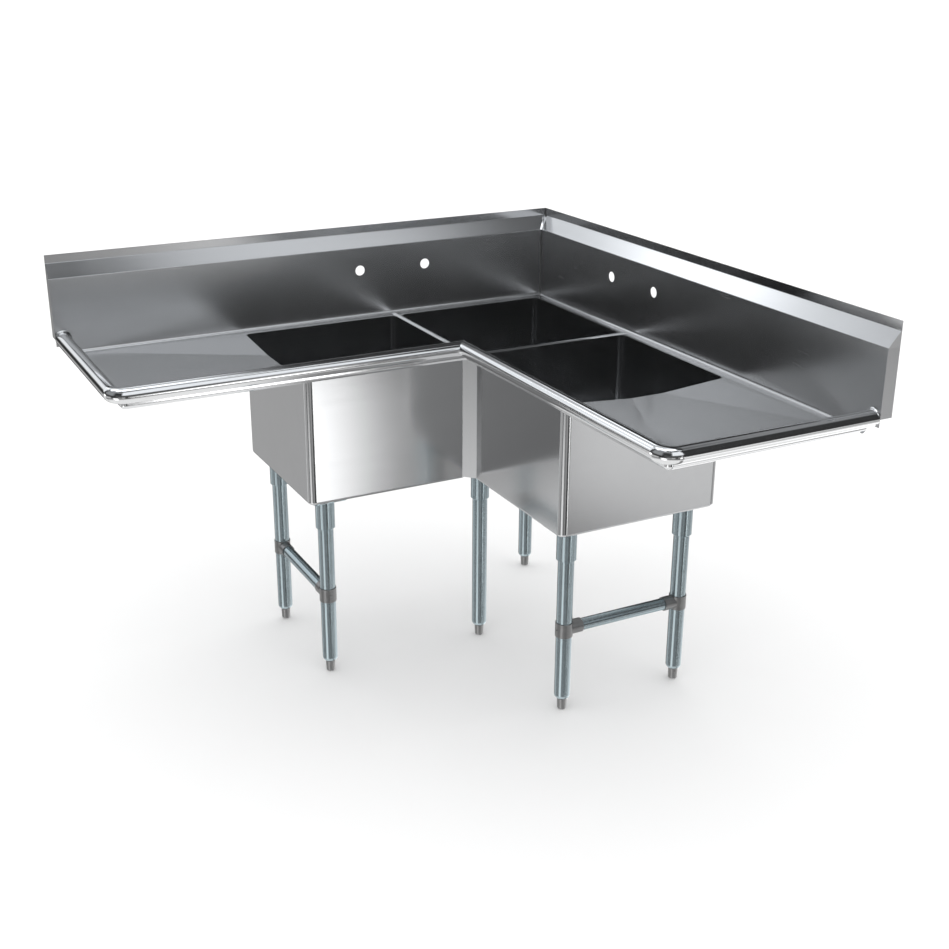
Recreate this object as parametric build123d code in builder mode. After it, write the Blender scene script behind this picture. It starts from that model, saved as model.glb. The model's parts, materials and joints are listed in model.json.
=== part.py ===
from build123d import *
import os

# Corner kitchen sink: three bowls and two drainboards in an L, on six tubular legs.
#
# Millimetres, +Z up. The origin is on the floor, under the middle of the square that
# the two wings span. The left wing runs along the back wall (+Y) and the right wing
# along the right wall (+X). The sink is its own mirror image across the vertical
# plane through the room corner, so most pieces are made on the left wing and mirrored.
#
# Places are distances from the two walls: "across" from the wall behind a wing and
# "along" that wing from the room corner. at(along, across) turns them into X and Y.

# Sheet metal
SHEET = 1.5                # stainless sheet
BEND = 3.0                 # outside radius of a sharp bend
COVE = 10.0                # radius where the deck turns up

# Splash
SPLASH_FACE = 33.4         # wall to the face of the splash
SPLASH_RISE = 255.85       # deck to the top of the lip
LIP_HEIGHT = 21.3          # upright lip against the wall
SLOPE_DROP = 35.2          # fall of the sloped return below the lip

# Deck and rim
RIM_HEIGHT = 914.4         # floor to the top of the rolled rim
RIM_RISE = 59.0            # deck to the top of the rolled rim
ROLL_RADIUS = 19.05        # rolled rim, outside
ROLL_TURN = 275.0          # degrees that the sheet wraps round the roll
CORNER_FLAT = 3.0          # deck's plan radius inside the rounded outer corner
BACK_LEDGE = 18.6          # level strip behind the bowls
FRONT_LEDGE = 28.6         # level strip in front of the bowls

# Bowls
BOWL_WIDTH = 451.0         # side bowls, along the wing
BOWL_REACH = 458.2         # side bowls, front to back
CORNER_STEP = 5.4          # the corner bowl stops this much short of the side bowls
BOWL_DEPTH = 342.1         # deck to the underside of the bowl
BOWL_CORNER = 19.0         # upright corner, outside radius
BOWL_HEM = 9.0             # bottom edge, outside radius
DIVIDER_WIDTH = 18.4       # between the mouths of two bowls
DIVIDER_CROWN = 3.0        # rise of the rounded cap

# Drainboards
BOARD_LENGTH = 453.6       # bowl to the end rim's cove
BOARD_DIP = 12.0           # fall of the board towards the bowl
BOARD_LEVEL_END = 30.0     # level strip beside the end rim
DIP_FROM_BACK = 183.0      # mouth's back edge to the low stretch
DIP_WIDTH = 90.0           # low stretch at the mouth
CREASE_BACK = 2.6          # cove to the far end of the back crease
CREASE_FRONT = 22.0        # front cove to the far end of the front crease
CHANNEL_WIDTH = 40.0       # stiffener under the board
CHANNEL_HEIGHT = 22.0
CHANNEL_FLANGE = 14.0
CHANNEL_INSET = 8.0        # gap at each end of the stiffener

# Faucet holes
FAUCET_SPACING = 203.2
FAUCET_RADIUS = 14.3
FAUCET_RISE = 134.6        # deck to the holes' centres

# Filler in the inner corner
FILLER_REACH = 28.0        # distance from the bowls' corner along each bowl's front
FILLER_LIFT = 6.0          # above the bowls' undersides

# Legs
LEG_RADIUS = 20.65
LEG_WALL = 1.6
LEG_FOOT_GAP = 44.0        # floor to the tube's cut end
WALL_INSET = 55.0          # mouth's back edge to the leg's centre
FRONT_INSET = 53.2         # mouth's front edge to the leg's centre
END_INSET = 58.2           # mouth's outer edge to the leg's centre
CORNER_INSET = 47.8        # corner mouth's inner edges to the leg's centre
SLIP = 0.3                 # loose fit of a tube in its socket or clamp
THREAD_GAP = 0.05          # fit of a thread, on the radius
SOCKET_RADIUS = 25.4
SOCKET_LENGTH = 85.9
SOCKET_LIP = 2.5
GUSSET_SIZE = 92.0
GUSSET_THICK = 3.0
GUSSET_CORNER = 8.0
SCREW_RADIUS = 3.0
SCREW_STANDOFF = 1.5       # head proud of the part that it goes through
SOCKET_SCREW_RISE = 22.0   # above the socket's lower end

# Feet
FOOT_TOP_RADIUS = 13.0
FOOT_SOLE_RADIUS = 11.6
FOOT_HEIGHT = 33.0
FOOT_ROUND = 4.5
FOOT_GAP = 0.3
STUD_RADIUS = 7.9
STUD_LENGTH = 42.0
INSERT_LENGTH = 40.0
INSERT_MOUTH_RADIUS = 14.5

# Crossbars
BAR_RADIUS = 15.9
BAR_WALL = 1.5
BAR_HEIGHT = 232.0
CLAMP_RADIUS = 22.7
CLAMP_HEIGHT = 38.0
STUB_RADIUS = 18.5
STUB_REACH = 48.0          # leg's centre to the end of the clamp's stub
BAR_SEAT = 20.0            # length of bar held in the stub

# Drains
RECESS_DEPTH = 5.0
RECESS_RADIUS = 68.0       # level floor begins here
RECESS_FLOOR_RADIUS = 60.0
HOLE_RADIUS = 44.45
DRAIN_FLANGE_RADIUS = 57.15
DRAIN_FLANGE = 2.0
CUP_RADIUS = 41.3
CUP_WALL = 3.3
CUP_DEPTH = 50.0
OUTLET_RADIUS = 24.13
OUTLET_BORE = 20.5
OUTLET_LENGTH = 24.0
GASKET_RADIUS = 56.0
GASKET_THICK = 3.0
WASHER_THICK = 1.0
NUT_RADIUS = 50.0
NUT_HEIGHT = 8.0
NUT_LUG = 5.0
NUT_LUG_WIDTH = 14.0
NUT_LUGS = 6
BASKET_GAP = 0.3           # all round the lift-out strainer
BASKET_SHEET = 1.2
BASKET_RIM_RADIUS = 37.6
BASKET_BASE_RADIUS = 33.0
BASKET_DEPTH = 36.0
STOPPER_RADIUS = 25.0
STOPPER_THICK = 6.0
POST_RADIUS = 3.5
KNOB_RADIUS = 8.5
KNOB_THICK = 6.0
SLOT_COUNT = 12
SLOT_WIDTH = 3.0
SLOT_LENGTH = 18.0
BASE_HOLE_COUNT = 8
BASE_HOLE_RADIUS = 1.8

# Heights worked out from the sizes above
DECK = RIM_HEIGHT - RIM_RISE
ROLL_Z = RIM_HEIGHT - ROLL_RADIUS
TOP = DECK + SPLASH_RISE
LIP_FOOT = TOP - LIP_HEIGHT
SLOPE_FOOT = LIP_FOOT - SLOPE_DROP
UNDER_BOWL = DECK - BOWL_DEPTH
BOWL_FLOOR = UNDER_BOWL + SHEET
RECESS_FLOOR = BOWL_FLOOR - RECESS_DEPTH
SOCKET_TOP = UNDER_BOWL - GUSSET_THICK

# Distances across a wing, from the wall to the rim
COVE_FOOT = SPLASH_FACE + COVE
MOUTH_BACK = COVE_FOOT + BACK_LEDGE
MOUTH_FRONT = MOUTH_BACK + BOWL_REACH
DECK_FRONT = MOUTH_FRONT + FRONT_LEDGE
ROLL_FRONT = DECK_FRONT + COVE + ROLL_RADIUS

# Distances along a wing, from the room corner to its end
CORNER_MOUTH = MOUTH_FRONT - CORNER_STEP
DIVIDER = CORNER_MOUTH + DIVIDER_WIDTH / 2
SIDE_MOUTH = CORNER_MOUTH + DIVIDER_WIDTH
MOUTH_END = SIDE_MOUTH + BOWL_WIDTH
BOARD_END = MOUTH_END + BOARD_LENGTH
ROLL_END = BOARD_END + COVE + ROLL_RADIUS
WING_END = ROLL_END + ROLL_RADIUS
RIM_TURN = ROLL_RADIUS + COVE + CORNER_FLAT     # plan radius of the roll's centre line
HALF = WING_END / 2

# Vertical planes. A profile is drawn as (distance from a wall, height).
ACROSS = Plane(origin=(HALF, HALF, 0), x_dir=(0, -1, 0), z_dir=(-1, 0, 0))
ALONG = Plane(origin=(HALF, HALF, 0), x_dir=(-1, 0, 0), z_dir=(0, 1, 0))
MITRE = Plane(origin=(0, 0, 0), x_dir=(1, 1, 0), z_dir=(-1, 1, 0))

# Bowl name: (mouth's first and last edge along, then across) for the left wing's frame
BOWLS = {
    "left": (SIDE_MOUTH, MOUTH_END, MOUTH_BACK, MOUTH_FRONT),
    "corner": (MOUTH_BACK, CORNER_MOUTH, MOUTH_BACK, CORNER_MOUTH),
    "right": (MOUTH_BACK, MOUTH_FRONT, SIDE_MOUTH, MOUTH_END),
}

WALL_LEG = MOUTH_BACK + WALL_INSET
FRONT_LEG = MOUTH_FRONT - FRONT_INSET
END_LEG = MOUTH_END - END_INSET
CORNER_LEG = CORNER_MOUTH - CORNER_INSET
LEGS = {
    "left_wall": (END_LEG, WALL_LEG),
    "left_front": (END_LEG, FRONT_LEG),
    "corner_wall": (WALL_LEG, WALL_LEG),
    "corner_front": (CORNER_LEG, CORNER_LEG),
    "right_front": (FRONT_LEG, END_LEG),
    "right_wall": (WALL_LEG, END_LEG),
}


def at(along, across):
    """X and Y of a point given by its distances from the right and the back wall."""
    return (HALF - along, HALF - across)


def level(places, height):
    """The places as points at one height."""
    return [(x, y, height) for x, y in places]


def hidden_side(points):
    """The outline one sheet thickness to the right of a run of points."""
    runs = [(end - start).normalized() for start, end in zip(points, points[1:])]
    normals = [Vector(run.Y, -run.X) for run in runs]
    hidden = [points[0] + normals[0] * SHEET]
    for corner, before, after in zip(points[1:], normals, normals[1:]):
        hidden.append(corner + (before + after) * (SHEET / (1 + before.dot(after))))
    hidden.append(points[-1] + normals[-1] * SHEET)
    return hidden


def folded_sheet(corners, radii):
    """Section of a folded sheet. corners and radii are its show side's, the sheet lies to
    the right of them, and a bend's inner radius is SHEET less or more than its outer one."""
    show = [Vector(*corner) for corner in corners]
    hidden = hidden_side(show)
    turns = [(b - a).cross(c - b).Z for a, b, c in zip(show, show[1:], show[2:])]
    hidden_radii = [radius + (SHEET if turn > 0 else -SHEET) for radius, turn in zip(radii, turns)]
    with BuildLine() as outline:
        FilletPolyline(*show, radius=radii)
        FilletPolyline(*hidden, radius=hidden_radii)
        Line(show[0], hidden[0])
        Line(show[-1], hidden[-1])
    make_face(outline.line)


def save(builder, name):
    builder.part.label = name
    export_step(builder.part, f"parts/{name}.step")


def save_pair(builder, name):
    """Save a piece of the left wing, and its mirror image on the right wing."""
    save(builder, f"{name}_left")
    with BuildPart() as twin:
        mirror(builder.part, about=MITRE)
    save(twin, f"{name}_right")


# ---------------------------------------------------------------- splash and rim

def splash():
    """Folded back panel: lip, sloped return, upright face and the cove at its foot."""
    with BuildPart() as panel:
        with BuildSketch(ACROSS):
            show_side = [
                (SHEET, TOP),
                (SHEET, LIP_FOOT),
                (SPLASH_FACE, SLOPE_FOOT),
                (SPLASH_FACE, DECK),
                (COVE_FOOT, DECK),
            ]
            folded_sheet(show_side, [BEND, BEND, COVE])
        extrude(amount=WING_END - SHEET)
        # the foot stops at the end rim, whose roll butts against the upright face
        with BuildSketch(ACROSS.offset(ROLL_END - ROLL_RADIUS)):
            with Locations((0, ROLL_Z - ROLL_RADIUS)):
                Rectangle(2 * COVE_FOOT, RIM_RISE, align=(Align.CENTER, Align.MAX))
        extrude(amount=2 * ROLL_RADIUS, mode=Mode.SUBTRACT)
        # one pair of faucet holes, centred over the divider
        with BuildSketch(ALONG.offset(-SPLASH_FACE)):
            with Locations((DIVIDER, DECK + FAUCET_RISE)):
                with GridLocations(FAUCET_SPACING, 0, 2, 1):
                    Circle(FAUCET_RADIUS)
        extrude(amount=2 * SHEET, both=True, mode=Mode.SUBTRACT)
        split(bisect_by=MITRE, keep=Keep.TOP)
    return panel


def splash_end_cap():
    """Flat plate that closes the outer end of the splash, down to the roll."""
    with BuildPart() as cap:
        with BuildSketch(ACROSS.offset(WING_END - SHEET)):
            with BuildLine():
                FilletPolyline(
                    (SHEET, TOP),
                    (SHEET, LIP_FOOT),
                    (SPLASH_FACE, SLOPE_FOOT),
                    (SPLASH_FACE, ROLL_Z),
                    radius=[BEND, BEND],
                )
                Polyline((SPLASH_FACE, ROLL_Z), (0, ROLL_Z), (0, TOP), (SHEET, TOP))
            make_face()
        extrude(amount=SHEET)
    return cap


def rim_section(roll):
    """Section of the rim: cove, upright and roll. roll is the roll centre's distance."""
    upright = roll - ROLL_RADIUS
    cove_centre = (upright - COVE, DECK + COVE)
    with BuildLine() as outline:
        show_cove = CenterArc(cove_centre, COVE, -90, 90)
        hidden_cove = CenterArc(cove_centre, COVE + SHEET, -90, 90)
        show_roll = CenterArc((roll, ROLL_Z), ROLL_RADIUS, 180, -ROLL_TURN)
        hidden_roll = CenterArc((roll, ROLL_Z), ROLL_RADIUS - SHEET, 180, -ROLL_TURN)
        Line(show_cove @ 1, show_roll @ 0)
        Line(hidden_cove @ 1, hidden_roll @ 0)
        Line(show_cove @ 0, hidden_cove @ 0)
        Line(show_roll @ 1, hidden_roll @ 1)
    make_face(outline.line)


def rim_front():
    """Front rim of a wing, mitred at the inner corner of the L."""
    with BuildPart() as rim:
        with BuildSketch(ACROSS.offset(DECK_FRONT)):
            rim_section(ROLL_FRONT)
        extrude(amount=ROLL_END - RIM_TURN - DECK_FRONT)
        split(bisect_by=MITRE, keep=Keep.TOP)
    return rim


def rim_corner():
    """Rounded outer corner of the rim: the same section, turned a quarter."""
    centre = at(ROLL_END - RIM_TURN, ROLL_FRONT - RIM_TURN)
    with BuildPart() as rim:
        with BuildSketch(ACROSS.offset(ROLL_END - RIM_TURN)):
            rim_section(ROLL_FRONT)
        revolve(axis=Axis((*centre, 0), (0, 0, 1)), revolution_arc=-90)
    return rim


def rim_end():
    """Rim across the outer end of a wing, butted against the splash."""
    with BuildPart() as rim:
        with BuildSketch(ALONG.offset(-SPLASH_FACE)):
            rim_section(ROLL_END)
        extrude(amount=-(ROLL_FRONT - RIM_TURN - SPLASH_FACE))
        # clear of the splash's own cove
        with Locations((*at(BOARD_END, SPLASH_FACE), DECK)):
            Box(2 * COVE, 2 * COVE, 4 * COVE, mode=Mode.SUBTRACT)
    return rim


# ---------------------------------------------------------------- deck and bowls

def board_valley(drop):
    """Space between the level deck and the three sloping faces of a drainboard."""
    low = DECK - BOARD_DIP
    far = BOARD_END - BOARD_LEVEL_END
    back = (*at(MOUTH_END, MOUTH_BACK + BOWL_CORNER), DECK)
    low_back = (*at(MOUTH_END, MOUTH_BACK + DIP_FROM_BACK), low)
    low_front = (*at(MOUTH_END, MOUTH_BACK + DIP_FROM_BACK + DIP_WIDTH), low)
    front = (*at(MOUTH_END, MOUTH_FRONT - BOWL_CORNER), DECK)
    far_back = (*at(far, COVE_FOOT + CREASE_BACK), DECK)
    far_front = (*at(far, DECK_FRONT - CREASE_FRONT), DECK)
    faces = [
        (back, front, far_front, far_back),
        (back, low_back, low_front, front),
        (back, far_back, low_back),
        (low_back, far_back, far_front, low_front),
        (low_front, far_front, front),
    ]
    shell = Shell([Face(Wire.make_polygon(corners, close=True)) for corners in faces])
    return Solid(shell).moved(Location((0, 0, -drop)))


def drainboard():
    """Drainboard with three faces that fall towards the bowl."""
    with BuildPart() as board:
        with BuildSketch(Plane.XY.offset(DECK - SHEET)):
            with BuildLine():
                Polyline(
                    at(MOUTH_END, COVE_FOOT),
                    at(BOARD_END, COVE_FOOT),
                    at(BOARD_END, DECK_FRONT),
                    at(MOUTH_END, DECK_FRONT),
                    close=True,
                )
            make_face()
        extrude(amount=SHEET)
        outer_corner = board.edges().filter_by(Axis.Z).sort_by(Axis.X)[:2].sort_by(Axis.Y)[0]
        fillet(outer_corner, CORNER_FLAT)
        add(board_valley(SHEET))
        add(board_valley(0), mode=Mode.SUBTRACT)
    return board


def board_channel():
    """Hat-shaped stiffener under a drainboard, parallel to its middle face."""
    slope_run = BOARD_LENGTH - BOARD_LEVEL_END
    slope = Vector(-slope_run, 0, BOARD_DIP).normalized()
    middle = MOUTH_BACK + DIP_FROM_BACK + DIP_WIDTH / 2
    start = Vector(*at(MOUTH_END, middle), DECK - BOARD_DIP - SHEET) + slope * (2 * CHANNEL_INSET)
    length = slope_run - 4 * CHANNEL_INSET
    section = Plane(origin=start, x_dir=(0, -1, 0), z_dir=slope)
    half = CHANNEL_WIDTH / 2
    with BuildPart() as channel:
        with BuildSketch(section):
            show_side = [
                (half + CHANNEL_FLANGE, -SHEET),
                (half - SHEET, -SHEET),
                (half - SHEET, -CHANNEL_HEIGHT),
                (SHEET - half, -CHANNEL_HEIGHT),
                (SHEET - half, -SHEET),
                (-half - CHANNEL_FLANGE, -SHEET),
            ]
            folded_sheet(show_side, [BEND] * 4)
        extrude(amount=length)
    return channel


def tub(mouth, grow, bottom, top):
    """Block with a bowl's rounded corners and bottom edge, grown by grow all round."""
    along_start, along_end, back, front = mouth
    centre = at((along_start + along_end) / 2, (back + front) / 2)
    with BuildPart() as block:
        with BuildSketch(Plane.XY.offset(bottom)):
            with Locations(centre):
                RectangleRounded(
                    along_end - along_start + 2 * grow,
                    front - back + 2 * grow,
                    BOWL_CORNER - SHEET + grow,
                )
        extrude(amount=top - bottom)
        fillet(block.faces().sort_by(Axis.Z)[0].edges(), BOWL_HEM - SHEET + grow)
    return block.part


def bowl(mouth, flange):
    """Open bowl with a level flange round its mouth and a recessed drain hole."""
    along_start, along_end, back, front = mouth
    centre = at((along_start + along_end) / 2, (back + front) / 2)
    with BuildPart() as body:
        with BuildSketch(Plane.XY.offset(DECK - SHEET)):
            with BuildLine():
                Polyline(*[at(*corner) for corner in flange], close=True)
            make_face()
        extrude(amount=SHEET)
        add(tub(mouth, SHEET, UNDER_BOWL, DECK - SHEET))
        add(tub(mouth, 0, BOWL_FLOOR, DECK + SHEET), mode=Mode.SUBTRACT)
        with BuildSketch(Plane.XY.offset(UNDER_BOWL)):
            with Locations(centre):
                Circle(RECESS_RADIUS)
        extrude(amount=SHEET, mode=Mode.SUBTRACT)
        with BuildSketch(Plane(origin=(*centre, 0), x_dir=(1, 0, 0), z_dir=(0, -1, 0))):
            show_side = [
                (HOLE_RADIUS, RECESS_FLOOR),
                (RECESS_FLOOR_RADIUS, RECESS_FLOOR),
                (RECESS_RADIUS - BEND, BOWL_FLOOR),
                (RECESS_RADIUS, BOWL_FLOOR),
            ]
            folded_sheet(show_side, [BEND, BEND])
        revolve(axis=Axis((*centre, 0), (0, 0, 1)))
    return body


def side_bowl():
    """Left bowl. Its outer wall follows the dip of the drainboard that lies on it."""
    flange = [
        (DIVIDER, COVE_FOOT),
        (MOUTH_END, COVE_FOOT),
        (MOUTH_END, DECK_FRONT),
        (DECK_FRONT, DECK_FRONT),
        (DIVIDER, DIVIDER),
    ]
    with BuildPart() as body:
        add(bowl(BOWLS["left"], flange).part)
        add(board_valley(SHEET), mode=Mode.SUBTRACT)
    return body


def corner_bowl():
    flange = [
        (COVE_FOOT, COVE_FOOT),
        (DIVIDER, COVE_FOOT),
        (DIVIDER, DIVIDER),
        (COVE_FOOT, DIVIDER),
    ]
    return bowl(BOWLS["corner"], flange)


def divider_cap():
    """Crowned strip over the joint of two bowls, mitred where the two strips meet."""
    half = DIVIDER_WIDTH / 2
    with BuildPart() as cap:
        with BuildSketch(ALONG.offset(-COVE_FOOT)):
            with BuildLine():
                ThreePointArc(
                    (DIVIDER - half, DECK),
                    (DIVIDER, DECK + DIVIDER_CROWN),
                    (DIVIDER + half, DECK),
                )
                Line((DIVIDER + half, DECK), (DIVIDER - half, DECK))
            make_face()
        extrude(amount=-(SIDE_MOUTH - COVE_FOOT))
        split(bisect_by=MITRE, keep=Keep.TOP)
    return cap


def corner_filler():
    """Upright strip at 45 degrees between the fronts of the two side bowls."""
    face = MOUTH_FRONT + SHEET
    near = face + FILLER_REACH
    inner = near - SHEET * 2 ** 0.5
    with BuildPart() as strip:
        with BuildSketch(Plane.XY.offset(UNDER_BOWL + FILLER_LIFT)):
            with BuildLine():
                Polyline(
                    at(near, face),
                    at(face, near),
                    at(face, inner),
                    at(inner, face),
                    close=True,
                )
            make_face()
        extrude(amount=DECK - SHEET - UNDER_BOWL - FILLER_LIFT)
    return strip


# ---------------------------------------------------------------- legs and feet

def gusset_plates():
    """One plate under a bowl for each leg."""
    with BuildPart() as plates:
        with BuildSketch(Plane.XY.offset(SOCKET_TOP)):
            with Locations(*[at(*place) for place in LEGS.values()]):
                RectangleRounded(GUSSET_SIZE, GUSSET_SIZE, GUSSET_CORNER)
        extrude(amount=GUSSET_THICK)
    return plates


def leg_socket(place):
    """Short tube under the gusset plate that takes the top of a leg."""
    bottom = SOCKET_TOP - SOCKET_LENGTH
    screw_height = bottom + SOCKET_SCREW_RISE
    with BuildPart() as socket:
        with BuildSketch(Plane.XY.offset(bottom)):
            with Locations(at(*place)):
                Circle(SOCKET_RADIUS)
                Circle(LEG_RADIUS + SLIP, mode=Mode.SUBTRACT)
        extrude(amount=SOCKET_LENGTH)
        lower = socket.faces().sort_by(Axis.Z)[0].edges().sort_by(SortBy.RADIUS)[-1]
        chamfer(lower, SOCKET_LIP)
        with BuildSketch(facing_wall(place, screw_height)):
            Circle(SCREW_RADIUS + THREAD_GAP)
        extrude(amount=2 * SOCKET_RADIUS, mode=Mode.SUBTRACT)
    return socket


def leg_tube(place):
    with BuildPart() as tube:
        with BuildSketch(Plane.XY.offset(LEG_FOOT_GAP)):
            with Locations(at(*place)):
                Circle(LEG_RADIUS)
                Circle(LEG_RADIUS - LEG_WALL, mode=Mode.SUBTRACT)
        extrude(amount=SOCKET_TOP - LEG_FOOT_GAP)
    return tube


def foot_inserts():
    """Threaded plug in the lower end of each leg, with a domed shoulder below it."""
    bottom = FOOT_HEIGHT + FOOT_GAP
    plug = LEG_RADIUS - LEG_WALL - THREAD_GAP
    bore = STUD_RADIUS + THREAD_GAP
    top = LEG_FOOT_GAP + INSERT_LENGTH
    with BuildPart() as insert:
        with BuildSketch(Plane.XZ):
            with BuildLine():
                Polyline(
                    (INSERT_MOUTH_RADIUS, bottom),
                    (bore, bottom),
                    (bore, top),
                    (plug, top),
                    (plug, LEG_FOOT_GAP),
                    (LEG_RADIUS, LEG_FOOT_GAP),
                )
                TangentArc(
                    (LEG_RADIUS, LEG_FOOT_GAP),
                    (INSERT_MOUTH_RADIUS, bottom),
                    tangent=(0, -1),
                )
            make_face()
        revolve(axis=Axis.Z)
    with BuildPart() as inserts:
        with Locations(*level([at(*place) for place in LEGS.values()], 0)):
            add(insert.part)
    return inserts


def foot(place):
    """Bullet foot: a tapered shoe on a stud that screws up into the insert."""
    stud_top = FOOT_HEIGHT + STUD_LENGTH
    centre = at(*place)
    with BuildPart() as shoe:
        with BuildSketch(Plane(origin=(*centre, 0), x_dir=(1, 0, 0), z_dir=(0, -1, 0))):
            with BuildLine():
                FilletPolyline(
                    (0, 0),
                    (FOOT_SOLE_RADIUS, 0),
                    (FOOT_TOP_RADIUS, FOOT_HEIGHT),
                    (STUD_RADIUS, FOOT_HEIGHT),
                    (STUD_RADIUS, stud_top),
                    (0, stud_top),
                    radius=[FOOT_ROUND, SHEET, 0, SHEET],
                )
                Line((0, stud_top), (0, 0))
            make_face()
        revolve(axis=Axis((*centre, 0), (0, 0, 1)))
    return shoe


def set_screws(reach, height, places, plane_for):
    """Grub screws that press on the legs: one for each place, from the leg outwards."""
    with BuildPart() as screws:
        for place in places:
            with BuildSketch(plane_for(place, height).offset(LEG_RADIUS)):
                Circle(SCREW_RADIUS)
            extrude(amount=reach + SCREW_STANDOFF - LEG_RADIUS)
    return screws


def facing_wall(place, height):
    """Plane at a leg's centre whose normal points at the back wall."""
    return Plane(origin=(*at(*place), height), x_dir=(1, 0, 0), z_dir=(0, 1, 0))


def facing_room(place, height):
    """Plane at a leg's centre whose normal points away from the back wall."""
    return Plane(origin=(*at(*place), height), x_dir=(1, 0, 0), z_dir=(0, -1, 0))


# ---------------------------------------------------------------- crossbars

def clamp(place, towards):
    """Tee clamp on a left-wing leg. towards is the plane that its stub runs along."""
    axis_plane = towards(place, BAR_HEIGHT)
    screw_plane = Plane(origin=axis_plane.origin, x_dir=(1, 0, 0), z_dir=-axis_plane.z_dir)
    with BuildPart() as tee:
        with BuildSketch(Plane.XY.offset(BAR_HEIGHT - CLAMP_HEIGHT / 2)):
            with Locations(at(*place)):
                Circle(CLAMP_RADIUS)
        extrude(amount=CLAMP_HEIGHT)
        with BuildSketch(axis_plane):
            Circle(STUB_RADIUS)
        extrude(amount=STUB_REACH)
        with BuildSketch(axis_plane.offset(STUB_REACH - BAR_SEAT)):
            Circle(BAR_RADIUS + SLIP)
        extrude(amount=BAR_SEAT, mode=Mode.SUBTRACT)
        with BuildSketch(Plane.XY.offset(BAR_HEIGHT - CLAMP_HEIGHT)):
            with Locations(at(*place)):
                Circle(LEG_RADIUS + THREAD_GAP)
        extrude(amount=2 * CLAMP_HEIGHT, mode=Mode.SUBTRACT)
        with BuildSketch(screw_plane):
            Circle(SCREW_RADIUS + THREAD_GAP)
        extrude(amount=2 * CLAMP_RADIUS, mode=Mode.SUBTRACT)
    return tee


def crossbar():
    """Tube between the two legs of the left wing, seated in the clamps' stubs."""
    start = facing_room(LEGS["left_wall"], BAR_HEIGHT).offset(STUB_REACH - BAR_SEAT + SLIP)
    gap_between_seats = FRONT_LEG - WALL_LEG - 2 * (STUB_REACH - BAR_SEAT + SLIP)
    with BuildPart() as bar:
        with BuildSketch(start):
            Circle(BAR_RADIUS)
            Circle(BAR_RADIUS - BAR_WALL, mode=Mode.SUBTRACT)
        extrude(amount=gap_between_seats)
    return bar


# ---------------------------------------------------------------- drains

def drain_centre(name):
    along_start, along_end, back, front = BOWLS[name]
    return at((along_start + along_end) / 2, (back + front) / 2)


def drain_body(centre):
    """Flanged cup through the bowl's hole, with a threaded outlet below."""
    bottom = RECESS_FLOOR - CUP_DEPTH
    bore = CUP_RADIUS - CUP_WALL
    with BuildPart() as body:
        with BuildSketch(Plane(origin=(*centre, 0), x_dir=(1, 0, 0), z_dir=(0, -1, 0))):
            with BuildLine():
                FilletPolyline(
                    (bore, RECESS_FLOOR + DRAIN_FLANGE),
                    (DRAIN_FLANGE_RADIUS, RECESS_FLOOR + DRAIN_FLANGE),
                    (DRAIN_FLANGE_RADIUS, RECESS_FLOOR),
                    (CUP_RADIUS, RECESS_FLOOR),
                    (CUP_RADIUS, bottom),
                    (OUTLET_RADIUS, bottom),
                    (OUTLET_RADIUS, bottom - OUTLET_LENGTH),
                    (OUTLET_BORE, bottom - OUTLET_LENGTH),
                    (OUTLET_BORE, bottom + CUP_WALL),
                    (bore, bottom + CUP_WALL),
                    radius=[DRAIN_FLANGE / 2, 0, 0, CUP_WALL, 0, 0, 0, 0],
                )
                Line((bore, bottom + CUP_WALL), (bore, RECESS_FLOOR + DRAIN_FLANGE))
            make_face()
        revolve(axis=Axis((*centre, 0), (0, 0, 1)))
    return body


def drain_rings(outer, top, thick):
    """The same flat ring round each of the three drain bodies."""
    with BuildPart() as rings:
        with BuildSketch(Plane.XY.offset(top - thick)):
            with Locations(*[drain_centre(name) for name in BOWLS]):
                Circle(outer)
                Circle(CUP_RADIUS + THREAD_GAP, mode=Mode.SUBTRACT)
        extrude(amount=thick)
    return rings


def lock_nuts(top):
    """Nut with lugs that pulls each drain body down on its gasket."""
    with BuildPart() as nut:
        with BuildSketch(Plane.XY.offset(top - NUT_HEIGHT)):
            Circle(NUT_RADIUS)
            with PolarLocations(NUT_RADIUS, NUT_LUGS):
                Rectangle(2 * NUT_LUG, NUT_LUG_WIDTH)
            Circle(CUP_RADIUS + THREAD_GAP, mode=Mode.SUBTRACT)
        extrude(amount=NUT_HEIGHT)
    with BuildPart() as nuts:
        with Locations(*level([drain_centre(name) for name in BOWLS], 0)):
            add(nut.part)
    return nuts


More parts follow.
